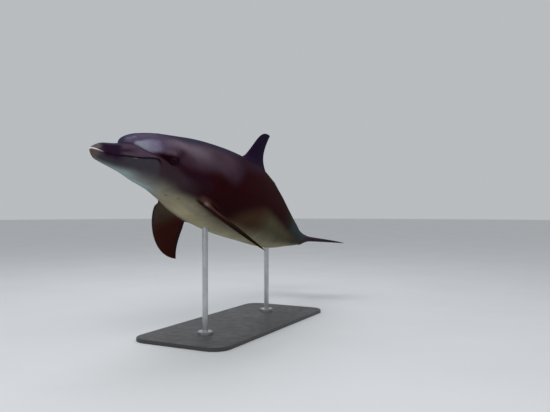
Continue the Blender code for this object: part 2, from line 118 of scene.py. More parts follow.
DORSAL_LEAD = [(43.8, 8.95), (51.4, 12.25), (54.4, 20.65), (61.35, 20.1)]
DORSAL_TRAIL = [(71.0, 4.7), (57.6, 10.6), (55.65, 11.4), (61.35, 20.1)]
FLUKE_LEAD = [(89.8, 0.0), (92.8, 3.1), (95.4, 11.3), (101.8, 12.8)]
FLUKE_TRAIL = [(99.7, 0.0), (101.6, 3.0), (99.6, 8.5), (101.8, 12.8)]
FLIPPER_LEAD = [(-2.6, -1.0), (-4.0, 2.9), (-2.1, 13.9), (3.55, 15.5)]
FLIPPER_TRAIL = [(3.3, -1.0), (6.2, 3.35), (2.4, 8.2), (3.55, 15.5)]
FLIPPERS = {
    "left": ((24.8, 4.9, -6.0), (-0.57, 0.67, -0.49), (-0.81, -0.55, 0.19)),
    "right": ((25.5, -4.9, -6.0), (-0.60, -0.45, -0.66), (-0.75, 0.60, 0.28)),
}
FLUKE_DROOP = (0.03, -0.06)
THICKNESS = {"dorsal": 0.13, "fluke": 0.14, "flipper": 0.13}
FLARE = {"dorsal": 0.5, "fluke": 0.9, "flipper": 0.4}
FLARE_REACH = 0.12
FIN_EDGE = 0.0012

# ---- how finely the skin is made -------------------------------------
HALF = 108                 # steps round half of each ring, from the belly to the back
RINGS = 390
RING_DENSITY = 1.1         # rings over a percent of length, to start with
DENSER = [                 # station, reach, rings more over a percent there
    (-0.2, 1.2, 9.0), (6.1, 0.9, 9.0), (8.0, 6.0, 5.0), (8.8, 3.2, 9.0), (12.2, 0.6, 18.0),
    (14.85, 1.1, 12.0), (26.0, 5.0, 1.3), (54.0, 11.0, 1.2), (95.0, 5.0, 1.6)]
LIP_ROWS = (6.0, 0.14)     # rows more along the lips and eye, and how far round they reach
CORNER_ROWS = (3.0, 0.16)  # the same just below them, at the corner of the mouth
CREASE_ROWS = (2.5, 0.16)  # along the melon's crease
TOP_ROWS = (4.0, 0.16)     # over the blowhole
CREASE_ANGLES = [(5.8, 1.45), (6.5, 1.1), (8.0, 0.78), (9.0, 0.52), (10.0, 0.30), (12.0, 0.2)]
FIN_SPAN, FIN_CHORD = 40, 28
DENSITY_SAMPLES = 4000
HALVINGS = 34              # of the distance from a ring's centre, to find the surface
WIDEST = 16.0              # a radius past the surface everywhere


# ---- curves and sections ---------------------------------------------
def ease(start, end, x):
    """From 0 at the start to 1 at the end, whichever of the two is the larger number."""
    t = np.clip((x - start) / (end - start), 0, 1)
    return t * t * (3 - 2 * t)


def bump(x, centre, reach):
    """1 at the centre, fading smoothly to both sides."""
    return np.exp(-((x - centre) / reach) ** 2)


def spline(knots_x, knots_y, x):
    """A natural cubic spline through the knots, straight beyond the ends."""
    kx, ky = np.array(knots_x, float), np.array(knots_y, float)
    step, last = np.diff(kx), len(kx) - 1
    slope = np.diff(ky) / step
    rows, right = np.eye(len(kx)), np.zeros(len(kx))
    for i in range(1, last):
        rows[i, i - 1:i + 2] = step[i - 1], 2 * (step[i - 1] + step[i]), step[i]
        right[i] = 6 * (slope[i] - slope[i - 1])
    bend = np.linalg.solve(rows, right)
    inside = np.clip(x, kx[0], kx[-1])
    i = np.clip(np.searchsorted(kx, inside) - 1, 0, last - 1)
    b = (inside - kx[i]) / step[i]
    a = 1 - b
    curve = a * ky[i] + b * ky[i + 1]
    curve += ((a ** 3 - a) * bend[i] + (b ** 3 - b) * bend[i + 1]) * step[i] ** 2 / 6
    first_slope = slope[0] - step[0] * bend[1] / 6
    last_slope = slope[-1] + step[-1] * bend[-2] / 6
    return curve + np.minimum(x - kx[0], 0) * first_slope + np.maximum(x - kx[-1], 0) * last_slope


def column(table, number, station):
    """One of a table's columns at stations, as a smooth curve through its rows."""
    columns = list(zip(*table))
    return spline(columns[0], columns[number], station)


def nose(station, start, length):
    """From 0 at the start to 1 a length later, as a quarter of an ellipse."""
    x = np.clip((station - start) / length, 0, 1)
    return np.maximum(np.sqrt(1 - (1 - x) ** 2), 1e-3)


def oval(side, height, top, bottom, half, widest, power, keel):
    """How far outside an oval a place is. A keel above 1 pinches its top and bottom."""
    reach = np.maximum(np.where(height > widest, top - widest, widest - bottom), 0.01)
    across = (np.abs(side) / half) ** (power / keel)
    up = (np.abs(height - widest) / reach) ** power
    return ((across + up) ** (1 / power) - 1) * np.minimum((top - bottom) / 2, half)


def levels(station, side, height):
    """How far outside the trunk's and the beak's forms a place is, and how softly they meet."""
    top, bottom, half, widest = (column(TRUNK, k, station) for k in range(1, 5))
    rise = nose(station, MELON_START, MELON_RISE)
    spread = nose(station, MELON_START, MELON_SPREAD)
    keel = 1 + (KEEL - 1) * ease(KEEL_START, KEEL_FULL, station)
    tail = nose(TAIL_START + TAIL_END - station, TAIL_START, TAIL_END - TAIL_START)
    trunk = oval(side, height, widest + (top - widest) * rise * tail,
                 widest + (bottom - widest) * rise * tail, half * spread * tail, widest,
                 TRUNK_POWER, keel)
    crease = column(CREASE_LINE, 1, station)
    undercut = UNDERCUT * ease(*UNDERCUT_GROW, station) * ease(*UNDERCUT_FADE[::-1], station)
    trunk = trunk + undercut * ease(crease + UNDERCUT_EDGE, crease - UNDERCUT_EDGE, height)
    trunk = np.where(station > MELON_START, trunk, FAR)
    beak_top, beak_bottom, beak_half = (column(BEAK, k, station) for k in range(1, 4))
    lips = column(CENTRES, 1, station)
    upper, lower, wide = (nose(station, BEAK_START, BEAK_TIP[k]) for k in ("upper", "lower", "wide"))
    beak = oval(side, height, lips + (beak_top - lips) * upper,
                lips + (beak_bottom - lips) * lower, beak_half * wide, lips, BEAK_POWER, 1.0)
    beak = np.where(station < BEAK_FADE[1], beak + 2 * ease(*BEAK_FADE, station), FAR)
    blend = CREASE_BLEND[0] + (CREASE_BLEND[1] - CREASE_BLEND[0]) * ease(*CREASE_FADE, station)
    return trunk, beak, blend


def level(station, side, height):
    """Below 0 inside the body and above 0 outside it."""
    trunk, beak, blend = levels(station, side, height)
    near = np.maximum(blend - np.abs(trunk - beak), 0) / blend
    return np.minimum(trunk, beak) - near * near * blend / 4


def spread(density, low, high, count):
    """Places from low to high, closer together where the density is higher."""
    fine = np.linspace(low, high, DENSITY_SAMPLES)
    total = np.concatenate([[0], np.cumsum((density(fine)[1:] + density(fine)[:-1]) / 2)])
    return np.interp(np.linspace(0, total[-1], count), total, fine)


def ring_density(station):
    return RING_DENSITY + sum(more * bump(station, place, reach) for place, reach, more in DENSER)


def row_angles(station):
    """Angles up the side of a ring, from -90 degrees at the belly to 90 at the back."""
    lips = LIP_ROWS[0] * (1 - ease(17, 24, station))
    corner = CORNER_ROWS[0] * bump(station, 12.4, 1.0)
    top = TOP_ROWS[0] * bump(station, 14.4, 2.0)
    crease = CREASE_ROWS[0] * ease(5.5, 6.5, station) * ease(12, 10, station)
    crease_at = np.interp(station, *zip(*CREASE_ANGLES))
    return spread(lambda a: 1 + lips * bump(a, 0, LIP_ROWS[1]) + corner * bump(a, -0.2, CORNER_ROWS[1])
                  + top * bump(a, pi / 2, TOP_ROWS[1]) + crease * bump(a, crease_at, CREASE_ROWS[1]),
                  -pi / 2, pi / 2, HALF + 1)


def body_half():
    """The straight body's left half, as rings of points from the belly to the back."""
    stations = spread(ring_density, BEAK_START, TAIL_END, RINGS + 2)[1:-1]
    angle = np.array([row_angles(u) for u in stations])
    station = stations[:, None] + 0 * angle
    centre = column(CENTRES, 1, station)
    across, up = np.cos(angle), np.sin(angle)
    near, far = np.zeros(angle.shape), np.full(angle.shape, WIDEST)
    for _ in range(HALVINGS):
        middle = (near + far) / 2
        inside = level(station, middle * across, centre + middle * up) < 0
        near, far = np.where(inside, middle, near), np.where(inside, far, middle)
    radius = (near + far) / 2
    side = radius * across
    side[:, 0] = side[:, -1] = 0
    return np.stack([station, side, centre + radius * up], -1)


# ---- pose ------------------------------------------------------------
def heading(station):
    """How far the body's nose points up and to the left at stations, in radians."""
    pitch, turn = TRUNK_PITCH + 0 * station, 0 * station
    for start, end, nose_up, to_left in BENDS:
        done = ease(start, end, station) - (end <= TRUNK_STATION)
        pitch = pitch + nose_up * done
        turn = turn + to_left * done
    return np.radians(pitch), np.radians(turn)


def spine():
    """Stations a little past both ends, and their places over the stand."""
    stations = np.arange(-10, 112, 0.25)
    pitch, turn = heading(stations)
    back = np.stack([np.cos(pitch) * np.cos(turn), np.cos(pitch) * np.sin(turn), -np.sin(pitch)], -1)
    steps = (back[1:] + back[:-1]) / 2 * np.diff(stations)[:, None] * PERCENT
    places = np.vstack([np.zeros(3), np.cumsum(steps, 0)])
    return stations, places + MIDDLE_PLACE - places[stations.searchsorted(MIDDLE_STATION)]


SPINE_STATIONS, SPINE_PLACES = spine()
PLACES_AT_ONCE = 4000      # in straighten(), to save memory
STATION_STEPS = 4          # towards the station that a place lies square to


def frame_at(station):
    """The spine's place at stations, and the body's own left and up there."""
    pitch, turn = heading(station)
    left = np.stack([np.sin(turn), -np.cos(turn), 0 * turn], -1)
    up = np.stack([np.sin(pitch) * np.cos(turn), np.sin(pitch) * np.sin(turn), np.cos(pitch)], -1)
    place = np.stack([np.interp(station, SPINE_STATIONS, SPINE_PLACES[:, k]) for k in range(3)], -1)
    return place, left, up


def pose(points):
    """Places in the row frame of points of the straight body."""
    points = np.asarray(points, float)
    place, left, up = frame_at(points[..., 0])
    return place + (points[..., 1:2] * left + points[..., 2:3] * up) * PERCENT


def straighten(places):
    """The opposite of pose(): points of the straight body, from places in the row frame."""
    parts = np.array_split(places, 1 + len(places) // PLACES_AT_ONCE)
    nearest = np.concatenate([
        np.argmin(((part[:, None] - SPINE_PLACES[None]) ** 2).sum(-1), 1) for part in parts])
    station = SPINE_STATIONS[nearest]
    for _ in range(STATION_STEPS):
        place, left, up = frame_at(station)
        back = np.cross(up, left)
        station = station + ((places - place) * back).sum(-1) / PERCENT
    place, left, up = frame_at(station)
    offset = (places - place) / PERCENT
    return np.stack([station, (offset * left).sum(-1), (offset * up).sum(-1)], -1)


# ---- relief ----------------------------------------------------------
# Depths and reaches are in millimetres, up to the last line of each function.
MOUTH_FRONT = [(-0.2, 0.05), (1.0, -0.16), (2.0, -0.32), (3.5, -0.36), (5.0, -0.28), (6.2, -0.14),
               (7.4, -0.12), (8.6, -0.02), (9.6, 0.13), (10.8, 0.30)]
MOUTH_CORNER = [(11.4, 0.26), (11.85, 0.05), (12.15, -0.28), (12.38, -0.68), (12.5, -1.05)]
EYE_OPENING = (12.5 * MM, 6.0 * MM)  # half its length and half its height
EYE_TILT = radians(-6)               # of the opening: its front corner lies lower
SOFT_FOLDS = (                       # stations and heights, depth, reach
    ([(10.0, 1.35), (11.2, 1.20), (12.4, 1.02), (13.4, 0.86)], 1.1, 3.2),  # crease to eye
    ([(12.9, 0.25), (13.3, -0.7), (13.5, -1.7), (13.4, -2.7)], 0.7, 5.0),  # behind the mouth
    ([(16.6, 0.45), (17.4, 0.1), (18.0, -0.6)], 0.5, 4.0))                 # behind the eye
LID = 1.0 * MM                       # its thickness over the eye's ball
LID_REACH = 2.2                      # how far the lids are shaped, in the ball's radii
LID_BLEND = 2.5 * MM                 # how softly they run out over the head
BLOWHOLE = (14.4, 0.55, 210)         # station, radius, degrees of an arc open to the beak
BLOWHOLE_SQUASH = 0.75               # along the body
EAR = (17.0, 0.35)                   # station and height of its pinhole
BELLY_SLITS = (                      # first station, last station, depth in millimetres
    (46.3, 47.3, 1.5), (61.0, 66.0, 3.0), (69.2, 70.6, 2.5))


def along(path, count=60):
    """A smooth curve through points of a plane."""
    path = np.array(path, float)
    run = np.concatenate([[0], np.cumsum(np.linalg.norm(np.diff(path, axis=0), axis=1))])
    at = np.linspace(0, run[-1], count)
    return np.stack([spline(run, path[:, k], at) for k in range(2)], -1)


def from_path(x, y, path):
    """Distance from a curve, and how far along it the nearest place lies, from 0 to 1."""
    best, share = np.full(np.shape(x), np.inf), np.zeros(np.shape(x))
    count = len(path) - 1
    for i, (a, b) in enumerate(zip(path[:-1], path[1:])):
        d = b - a
        t = np.clip(((x - a[0]) * d[0] + (y - a[1]) * d[1]) / (d @ d), 0, 1)
        gap = np.hypot(x - a[0] - t * d[0], y - a[1] - t * d[1])
        share = np.where(gap < best, (i + t) / count, share)
        best = np.minimum(best, gap)
    return best, share


MOUTH = along(MOUTH_FRONT + MOUTH_CORNER, 90)


def eye_shape(station, height):
    """Signed distance from the eye's opening, an almond between two arcs, in percent."""
    a = (station - EYE[0]) * cos(EYE_TILT) + (height - EYE[2]) * sin(EYE_TILT)
    b = -(station - EYE[0]) * sin(EYE_TILT) + (height - EYE[2]) * cos(EYE_TILT)
    half, rise = EYE_OPENING
    radius = (half ** 2 + rise ** 2) / (2 * rise)
    drop = radius - rise
    gap = np.maximum(np.hypot(a, b + drop), np.hypot(a, b - drop)) - radius
    return gap, a, b


def head_relief(points):
    """How far the head's relief stands out of the plain form, in percent."""
    station, side, height = np.moveaxis(points, -1, 0)
    out = np.zeros(station.shape)

    # the mouth: a narrow cut between two low lips
    gap, share = from_path(station, height, MOUTH)
    gap = gap / MM
    end = 1 - ease(0.93, 1.0, share)
    out -= 2.4 * end * bump(gap, 0, 1.0)
    out += 0.7 * end * bump(gap, 3.2, 1.6)
    upper = (height > column(CENTRES, 1, station)) * ease(3, 6, station)
    out -= 0.5 * end * bump(gap, 8.5, 2.5) * upper

    # the crease round the foot of the melon
    trunk, beak, _ = levels(station, side, height)
    crease = bump(trunk - beak, 0, 3.8 * MM) * ease(5.7, 6.0, station)
    out -= 1.5 * crease * (1 - ease(10.5, 13.0, station)) * (height > 0.3)

    for path, depth, reach in SOFT_FOLDS:
        gap, share = from_path(station, height, along(path))
        out -= depth * bump(gap / MM, 0, reach) * (4 * share * (1 - share)) ** 0.7

    # folds that follow the eye's opening, deeper above than below
    gap, a, b = eye_shape(station, height)
    gap = gap / MM
    above, below = ease(-0.1, 0.15, b), ease(0.1, -0.15, b)
    out -= (1.5 * above + 1.0 * below) * bump(gap, 5.4, 1.7)
    out += (0.9 * above + 0.6 * below) * bump(gap, 9.0, 2.4)
    out -= (0.9 * above + 0.6 * below) * bump(gap, 13.0, 2.2)
    return out * MM


def open_eye(points):
    """Lay the lids over the eye's ball, and draw the skin back inside the opening."""
    offset = points - EYE
    away = np.linalg.norm(offset, axis=-1)
    gap, _, _ = eye_shape(points[..., 0], points[..., 2])
    ball = EYE_RADIUS / PERCENT
    near = np.maximum(LID_BLEND - np.abs(away - ball - LID), 0) / LID_BLEND
    lid = np.maximum(away, ball + LID) + near ** 2 * LID_BLEND / 4
    inside = np.minimum(away, ball - 2.0 * MM)
    share = ease(-0.5 * MM, 0.5 * MM, gap)
    target = inside + (lid - inside) * share
    target = np.where((away < LID_REACH * ball) & (points[..., 1] > 3.0), target, away)
    return EYE + offset * (target / away)[..., None]


def blowhole_relief(points):
    """A cut along an arc, in a low rim, on top of the head."""
    station, side, height = np.moveaxis(points, -1, 0)
    place, radius, arc = BLOWHOLE
    turns = np.radians(np.linspace(-arc / 2, arc / 2, 40))
    back = place - radius + radius * np.cos(turns) * BLOWHOLE_SQUASH
    path = np.stack([back, radius * np.sin(turns)], -1)
    gap, share = from_path(station, side, path)
    gap = gap / MM
    out = -3.0 * bump(gap, 0, 1.5) * (1 - ease(0.9, 1.0, np.abs(2 * share - 1)))
    out += 0.8 * bump(gap, 4.5, 2.0)
    return out * MM * (height > 3)


def small_marks(points):
    """The ear's pinhole, the navel, and the slits under the tail stock."""
    station, side, height = np.moveaxis(points, -1, 0)
    from_ear = np.hypot(station - EAR[0], height - EAR[1])
    out = -1.2 * bump(from_ear, 0, 1.6 * MM) * (side > 0)
    low = height < -1
    for start, end, depth in BELLY_SLITS:
        shape = ease(start - 0.3, start + 0.3, station) * ease(end + 0.3, end - 0.3, station)
        out -= depth * shape * bump(side, 0, 4 * MM) * low
        out += 0.8 * depth * shape * bump(side, 14 * MM, 8 * MM) * low
    return out * MM


def press(points, relief):
    """Move points out along the surface's own normals."""
    along_body = np.gradient(points, axis=0)
    around = np.gradient(points, axis=1)
    normal = np.cross(along_body, around)
    normal /= np.linalg.norm(normal, axis=-1, keepdims=True) + 1e-12
    station = points[..., 0]
    centre = np.stack([station, 0 * station, column(CENTRES, 1, station)], -1)
    normal *= np.sign((normal * (points - centre)).sum(-1, keepdims=True))
    return points + normal * relief[..., None]


# ---- meshes ----------------------------------------------------------
def add_object(name, verts, faces):
    """An object of a new mesh, in the scene."""
    mesh = bpy.data.meshes.new(name)
    mesh.from_pydata([tuple(v) for v in verts], [], faces)
    obj = bpy.data.objects.new(name, mesh)
    bpy.context.collection.objects.link(obj)
    return obj


def face_outwards(mesh):
    bm = bmesh.new()
    bm.from_mesh(mesh)
    bmesh.ops.recalc_face_normals(bm, faces=bm.faces)
    bm.to_mesh(mesh)
    bm.free()


def tube(name, rings, first=None, last=None):
    """A closed body through rings of points; first and last are end points, or flat ends."""
    count, sides = rings.shape[:2]
    verts = list(rings.reshape(-1, 3))
    faces = []
    for i in range(count - 1):
        for j in range(sides):
            k = (j + 1) % sides
            faces.append((i * sides + j, i * sides + k, (i + 1) * sides + k, (i + 1) * sides + j))
    for end, start in ((first, 0), (last, (count - 1) * sides)):
        ring = [start + j for j in range(sides)]
        if end is None:
            faces.append(ring)
            continue
        verts.append(end)
        faces += [(ring[j], ring[(j + 1) % sides], len(verts) - 1) for j in range(sides)]
    obj = add_object(name, verts, faces)
    face_outwards(obj.data)
    return obj


def make_body():
    """The posed body with its relief, without fins."""
    half = body_half()
    half = press(half, head_relief(half) * ease(19, 17, half[..., 0])
                 + blowhole_relief(half) + small_marks(half))
    half = open_eye(half)
    half[:, 0, 1] = half[:, -1, 1] = 0
    rings = np.concatenate([half, half[:, -2:0:-1] * (1, -1, 1)], 1)
    first = pose((BEAK_START, 0, LIP_LINE[0][1]))
    last = pose((TAIL_END, 0, 0))
    return tube("body", pose(rings), first, last)


# ---- fins ------------------------------------------------------------
def bezier(corners, t):
    """Points at shares t along a cubic curve."""
    a, b, c, d = (np.array(p, float) for p in corners)
    t = t[:, None]
    return (1 - t) ** 3 * a + 3 * (1 - t) ** 2 * t * b + 3 * (1 - t) * t ** 2 * c + t ** 3 * d


def fin_rings(kind, lead, trail):
    """Rings of (chord, span, half thickness) points round a fin, from its root to its tip."""
    span_share = np.sin(np.linspace(0, 0.485, FIN_SPAN) * pi)
    x = (1 - np.cos(np.linspace(0, 1, FIN_CHORD) * pi)) / 2
    swell = 2.6 * np.sqrt(x) * (1 - x)                     # 1 a third of the way back
    edge = FIN_EDGE / PERCENT * np.sqrt(x * (1 - x ** 8))  # keeps the rear edge round
    rings = []
    for a, b, s in zip(bezier(lead, span_share), bezier(trail, span_share), span_share):
        flare = 1 + FLARE[kind] * np.exp(-s / FLARE_REACH)
        half = np.linalg.norm(b - a) * THICKNESS[kind] / 2 * flare * swell + edge
        line = a + (b - a) * x[:, None]
        upper, lower = np.column_stack([line, half]), np.column_stack([line, -half])
        rings.append(np.vstack([upper, lower[-2:0:-1]]))
    return np.array(rings)


def tip_of(lead):
    """The last point of a fin's leading edge, on the middle of its thickness."""
    return np.array([*lead[-1], 0.0])


def dorsal_fin():
    def place(points):
        return pose(points[..., (0, 2, 1)])

    return tube("dorsal", place(fin_rings("dorsal", DORSAL_LEAD, DORSAL_TRAIL)), None,
                place(tip_of(DORSAL_LEAD)))


def flukes():
    """Both flukes, as one loft from the left tip to the right."""
    rings = fin_rings("fluke", FLUKE_LEAD, FLUKE_TRAIL)

    def place(points, sign):
        back, out, up = np.moveaxis(points, -1, 0)
        return pose(np.stack([back, sign * out, up + FLUKE_DROOP[0] + FLUKE_DROOP[1] * out], -1))

    both = np.concatenate([place(rings, 1)[::-1], place(rings, -1)[1:]])
    tip = tip_of(FLUKE_LEAD)
    return tube("flukes", both, place(tip, 1), place(tip, -1))


def flipper_turn(side):
    """A flipper's own directions over the stand: back, outwards and across."""
    _, outward, backward = FLIPPERS[side]
    _, left, up = frame_at(np.array(TRUNK_STATION))
    axes = np.array([np.cross(left, up), left, up])
    span = outward @ axes
    span /= np.linalg.norm(span)
    chord = backward @ axes
    chord -= span * (chord @ span)
    chord /= np.linalg.norm(chord)
    return np.array([chord, span, np.cross(chord, span)])


def flipper(side):
    """A flipper, turned about its root and set beside the chest."""
    root, turn = FLIPPERS[side][0], flipper_turn(side)

    def place(points):
        return pose(root) + points @ turn * PERCENT

    return tube("flipper_skin_" + side, place(fin_rings("flipper", FLIPPER_LEAD, FLIPPER_TRAIL)),
                None, place(tip_of(FLIPPER_LEAD)))


# ---- one skin --------------------------------------------------------
FILLETS = {                # how far from a corner its fillet reaches, in metres
    "dorsal": 0.055, "flukes": 0.050, "flipper_skin_left": 0.045, "flipper_skin_right": 0.045}
ON_SURFACE = 0.0005        # a point this near to a surface lies on it, in metres
RELAX_ROUNDS = 8


def vertices(mesh):
    """A mesh's points, one a row."""
    points = np.empty(len(mesh.vertices) * 3, np.float32)
    mesh.vertices.foreach_get("co", points)
    return points.reshape(-1, 3).astype(float)


def tree(obj):
    """An object's surface, ready for finding what is nearest on it."""
    bm = bmesh.new()
    bm.from_mesh(obj.data)
    found = BVHTree.FromBMesh(bm)
    bm.free()
    return found


def distances(surface, points, reach):
    """How far each point is from a surface, up to reach, and the surface's normal there."""
    gap, normal = np.full(len(points), reach), np.zeros((len(points), 3))
    for i, p in enumerate(points):
        hit, face_normal, _, d = surface.find_nearest(Vector(p), reach)
        if hit is not None:
            gap[i], normal[i] = d, face_normal
    return gap, normal


def join(body, fins):
    """One closed mesh of the body and its fins."""
    for fin in fins:
        modifier = body.modifiers.new("join_" + fin.name, "BOOLEAN")
        modifier.operation = "UNION"
        modifier.solver = "EXACT"
        modifier.object = fin
    graph = bpy.context.evaluated_depsgraph_get()
    return bpy.data.meshes.new_from_object(body.evaluated_get(graph))


def soften(mesh, body, fins):
    """Fill the corner between body and fins with a fillet, and say how near each point is to it."""
    bm = bmesh.new()
    bm.from_mesh(mesh)
    points = np.array([v.co for v in bm.verts])
    body_tree = tree(body)
    zone = np.zeros(len(points))
    for fin in fins:
        reach = FILLETS[fin.name]
        low, high = vertices(fin.data).min(0) - reach, vertices(fin.data).max(0) + reach
        near = np.flatnonzero(((points > low) & (points < high)).all(1))
        to_fin, fin_normal = distances(tree(fin), points[near], reach)
        to_body, body_normal = distances(body_tree, points[near], reach)
        gap = np.abs(to_fin - to_body)
        close = (gap < reach) & (np.minimum(to_fin, to_body) < ON_SURFACE)
        near, gap = near[close], gap[close]
        share = 0.5 + (to_fin - to_body)[close] / reach / 2
        direction = share[:, None] * body_normal[close] + (1 - share[:, None]) * fin_normal[close]
        size = np.maximum((direction ** 2).sum(1), 0.2)
        move = reach / 4 * (1 - gap / reach) ** 2 / size
        points[near] += direction * move[:, None]
        zone[near] = np.maximum(zone[near], 1 - gap / reach)
    for v, p in zip(bm.verts, points):
        v.co = p
    bm.verts.ensure_lookup_table()
    bmesh.ops.triangulate(bm, faces=[f for f in bm.faces if len(f.verts) > 4])
    bm.to_mesh(mesh)
    bm.free()
    return zone


def relax(mesh, weight, rounds):
    """Average points with their neighbours, by a weight for each."""
    edges = np.empty(len(mesh.edges) * 2, np.int32)
    mesh.edges.foreach_get("vertices", edges)
    a, b = edges[::2], edges[1::2]
    points = vertices(mesh)
    size = len(points)
    count = np.bincount(a, minlength=size) + np.bincount(b, minlength=size)
    for _ in range(rounds):
        total = np.zeros(points.shape)
        for k in range(3):
            total[:, k] = np.bincount(a, points[b, k], size) + np.bincount(b, points[a, k], size)
        mean = total / np.maximum(count, 1)[:, None]
        points += (mean - points) * weight[:, None]
    mesh.vertices.foreach_set("co", points.astype(np.float32).ravel())
    mesh.update()


def make_skin():
    """Body and fins as one closed and smooth mesh."""
    body = make_body()
    fins = [dorsal_fin(), flukes(), flipper("left"), flipper("right")]
    mesh = join(body, fins)
    zone = soften(mesh, body, fins)
    relax(mesh, np.clip(zone * 1.6, 0, 0.7), RELAX_ROUNDS)
    for obj in [body, *fins]:
        bpy.data.objects.remove(obj, do_unlink=True)
    mesh.name = "skin"
    skin = bpy.data.objects.new("skin", mesh)
    bpy.context.collection.objects.link(skin)
    face_outwards(mesh)
    mesh.shade_smooth()
    return skin


# ---- markings, with painted light and shade --------------------------
def linear(red, green, blue):
    """A colour given in the usual 0 to 255 steps, as the shader wants it."""
    c = np.array([red, green, blue]) / 255
    return np.where(c < 0.04045, c / 12.92, ((c + 0.055) / 1.055) ** 2.4)


BACK = linear(40, 37, 56)
BACK_SHEEN = linear(50, 52, 74)
BACK_REAR = linear(38, 18, 30)
SIDE = linear(57, 38, 49)
MELON = linear(80, 70, 92)
MELON_PATCH_AND_HIGHLIGHT = linear(134, 134, 150)
MELON_SIDE_HIGHLIGHT = linear(118, 110, 132)
BLAZE_AND_HIGHLIGHT = linear(102, 88, 100)
BLAZE_AND_HIGHLIGHT_END = linear(70, 51, 62)
BROW_HIGHLIGHT = linear(94, 74, 84)
FLANK = linear(40, 7, 11)
FLANK_TOP = linear(42, 20, 34)
BAND = linear(38, 15, 26)
EYE_SHADE = linear(24, 3, 11)
CREASE_SHADE = linear(44, 32, 44)
BEAK_BAND = linear(40, 23, 42)
BEAK_TOP = linear(52, 44, 66)
UPPER_BEAK = linear(78, 62, 76)
UPPER_LIP_HIGHLIGHT = linear(80, 66, 80)
BEAK_END = linear(94, 86, 88)
CHIN = linear(92, 78, 74)
LIP = linear(226, 220, 218)
CHEEK = linear(58, 53, 60)
NECK = linear(54, 41, 46)
UNDER = linear(64, 44, 29)
UNDER_REAR = linear(78, 73, 55)
TAIL_SIDE = linear(38, 28, 20)
TAIL = linear(52, 60, 62)
TAIL_UNDER = linear(50, 50, 42)
PALE = linear(138, 132, 112)
PALE_BELLY = linear(164, 155, 126)
BELLY_RIDGE = linear(176, 182, 158)
THROAT = linear(140, 160, 160)
THROAT_REAR = linear(140, 141, 137)
MOUTH_SHADE = linear(20, 8, 18)
DORSAL = linear(30, 15, 40)
DORSAL_TIP = linear(20, 22, 48)
FLIPPER = linear(60, 28, 23)
FLIPPER_SHADE = linear(70, 58, 49)
FLIPPER_EDGE = linear(40, 31, 34)
NEAR_FLIPPER_SHADE = linear(30, 18, 9)
FLIPPER_TOP_LIGHT = linear(100, 75, 70)
FLIPPER_ROOT_HIGHLIGHT = linear(200, 172, 160)
FLUKE = linear(58, 42, 52)
FLUKE_TIP = linear(26, 32, 34)

# Below, "up" is degrees up from the height of a section's centre: -90 at the belly and 90
# at the back. Each function lays colours over the last, by amounts from 0 to 1.

# Lines along the body: station and degrees up
FLANK_LINE = [(14, -14), (18, -7), (20.5, -4), (23.5, 4), (26.5, 4), (29, 0), (31, 2), (33, 14),
              (35, 27), (40, 36), (48, 50), (75, 70)]
BLAZE_AND_HIGHLIGHT_LINE = [(11, 34), (14, 40), (16, 43), (18, 36), (20, 32), (24, 32), (28, 32), (34, 42)]
PATCH_LINE = [(7.4, 56), (8.5, 50), (9.5, 48), (11, 46), (13, 43)]
DARK_LINE = [(30, -50), (34, -40), (38, -31), (42, -23), (46, -20), (52, -25), (58, -30), (64, -35),
             (72, -42)]
PALE_LINE = [(12, -64), (14, -62), (16.5, -60), (20, -54), (26, -57), (34, -62), (44, -64), (52, -62),
             (60, -68), (70, -76), (90, -84)]
EYE_PATCH_TOP = [(10.8, 13), (12, 11), (13.5, 10), (15, 10), (15.8, 7)]
EYE_PATCH_FOOT = [(10.8, 11), (11.6, 6), (12.4, 0), (13.4, -7), (14.2, -11), (15, -9), (15.8, -4)]

# Strokes along the body: station, and degrees up over STROKE_STEP
STROKE_STEP = 12
EYE_BAND = [(15.4, -0.4), (17, -1.0), (19, -1.4), (23, -1.8)]
BROW_SHADOW = [(15.4, 0.6), (16.0, 1.3), (16.5, 1.9)]
MELON_GLEAM = [(6.5, 6.2), (7.1, 5.7), (7.8, 5.6)]
BROW_GLEAM = [(13.4, 1.5), (14.0, 1.55), (14.6, 1.45)]
SCARS = [[(16.4, -6.25), (16.8, -6.15)], [(18.8, -5.5), (19.3, -5.45)]]


def line_at(line, station):
    """A line's height at stations, as a smooth curve through its points."""
    return column(line, 1, np.clip(station, line[0][0], line[-1][0]))


def below_line(line, station, up, soft):
    middle = line_at(line, station)
    return ease(middle + soft, middle - soft, up)


def stroke(station, up, path, reach, grow=0.0):
    """1 on a curve, fading over a reach that may grow along it."""
    gap, share = from_path(station, up / STROKE_STEP, along(path))
    return bump(gap, 0, reach + grow * share)


def flank_markings(lay, station, up):
    """The trunk's sides: a painted bluish sheen along the top, a light band on the upper flank that is
    partly its own tone and partly painted highlight, the maroon flank below it, a band behind the eye,
    and painted shade behind the brow.
    """
    lay(BACK_SHEEN, ease(62, 74, up) * ease(44, 30, station))
    lay(BACK_REAR, ease(33, 42, station) * ease(80, 62, up))
    lay(DORSAL, ease(43, 48, station) * ease(64, 78, up) * ease(64, 58, station))
    lay(SIDE, ease(50, 34, up) * ease(39, 31, station))
    lay(FLANK_TOP, ease(26, 36, station) * ease(49, 43, station) * ease(64, 46, up))
    # the light band on the upper flank: partly the skin's own paler tone, partly a painted highlight
    # of the light from above
    wide = 14 + 4 * ease(16, 20, station)
    blaze_and_highlight = ease(11, 14, station) * bump(up, line_at(BLAZE_AND_HIGHLIGHT_LINE, station), wide)
    lay(BLAZE_AND_HIGHLIGHT, blaze_and_highlight * ease(33, 19, station))
    lay(BLAZE_AND_HIGHLIGHT_END, blaze_and_highlight * ease(20, 26, station) * ease(37, 27, station))
    lay(FLANK, ease(13, 20, station) * below_line(FLANK_LINE, station, up, 10))
    lay(NECK, ease(23, 18, station) * ease(-10, -26, up))
    lay(BAND, 0.95 * stroke(station, up, EYE_BAND, 0.75, 0.3))
    # painted shade behind the brow's bulge, in the band's dark colour
    lay(BAND, 0.6 * stroke(station, up, BROW_SHADOW, 0.45))


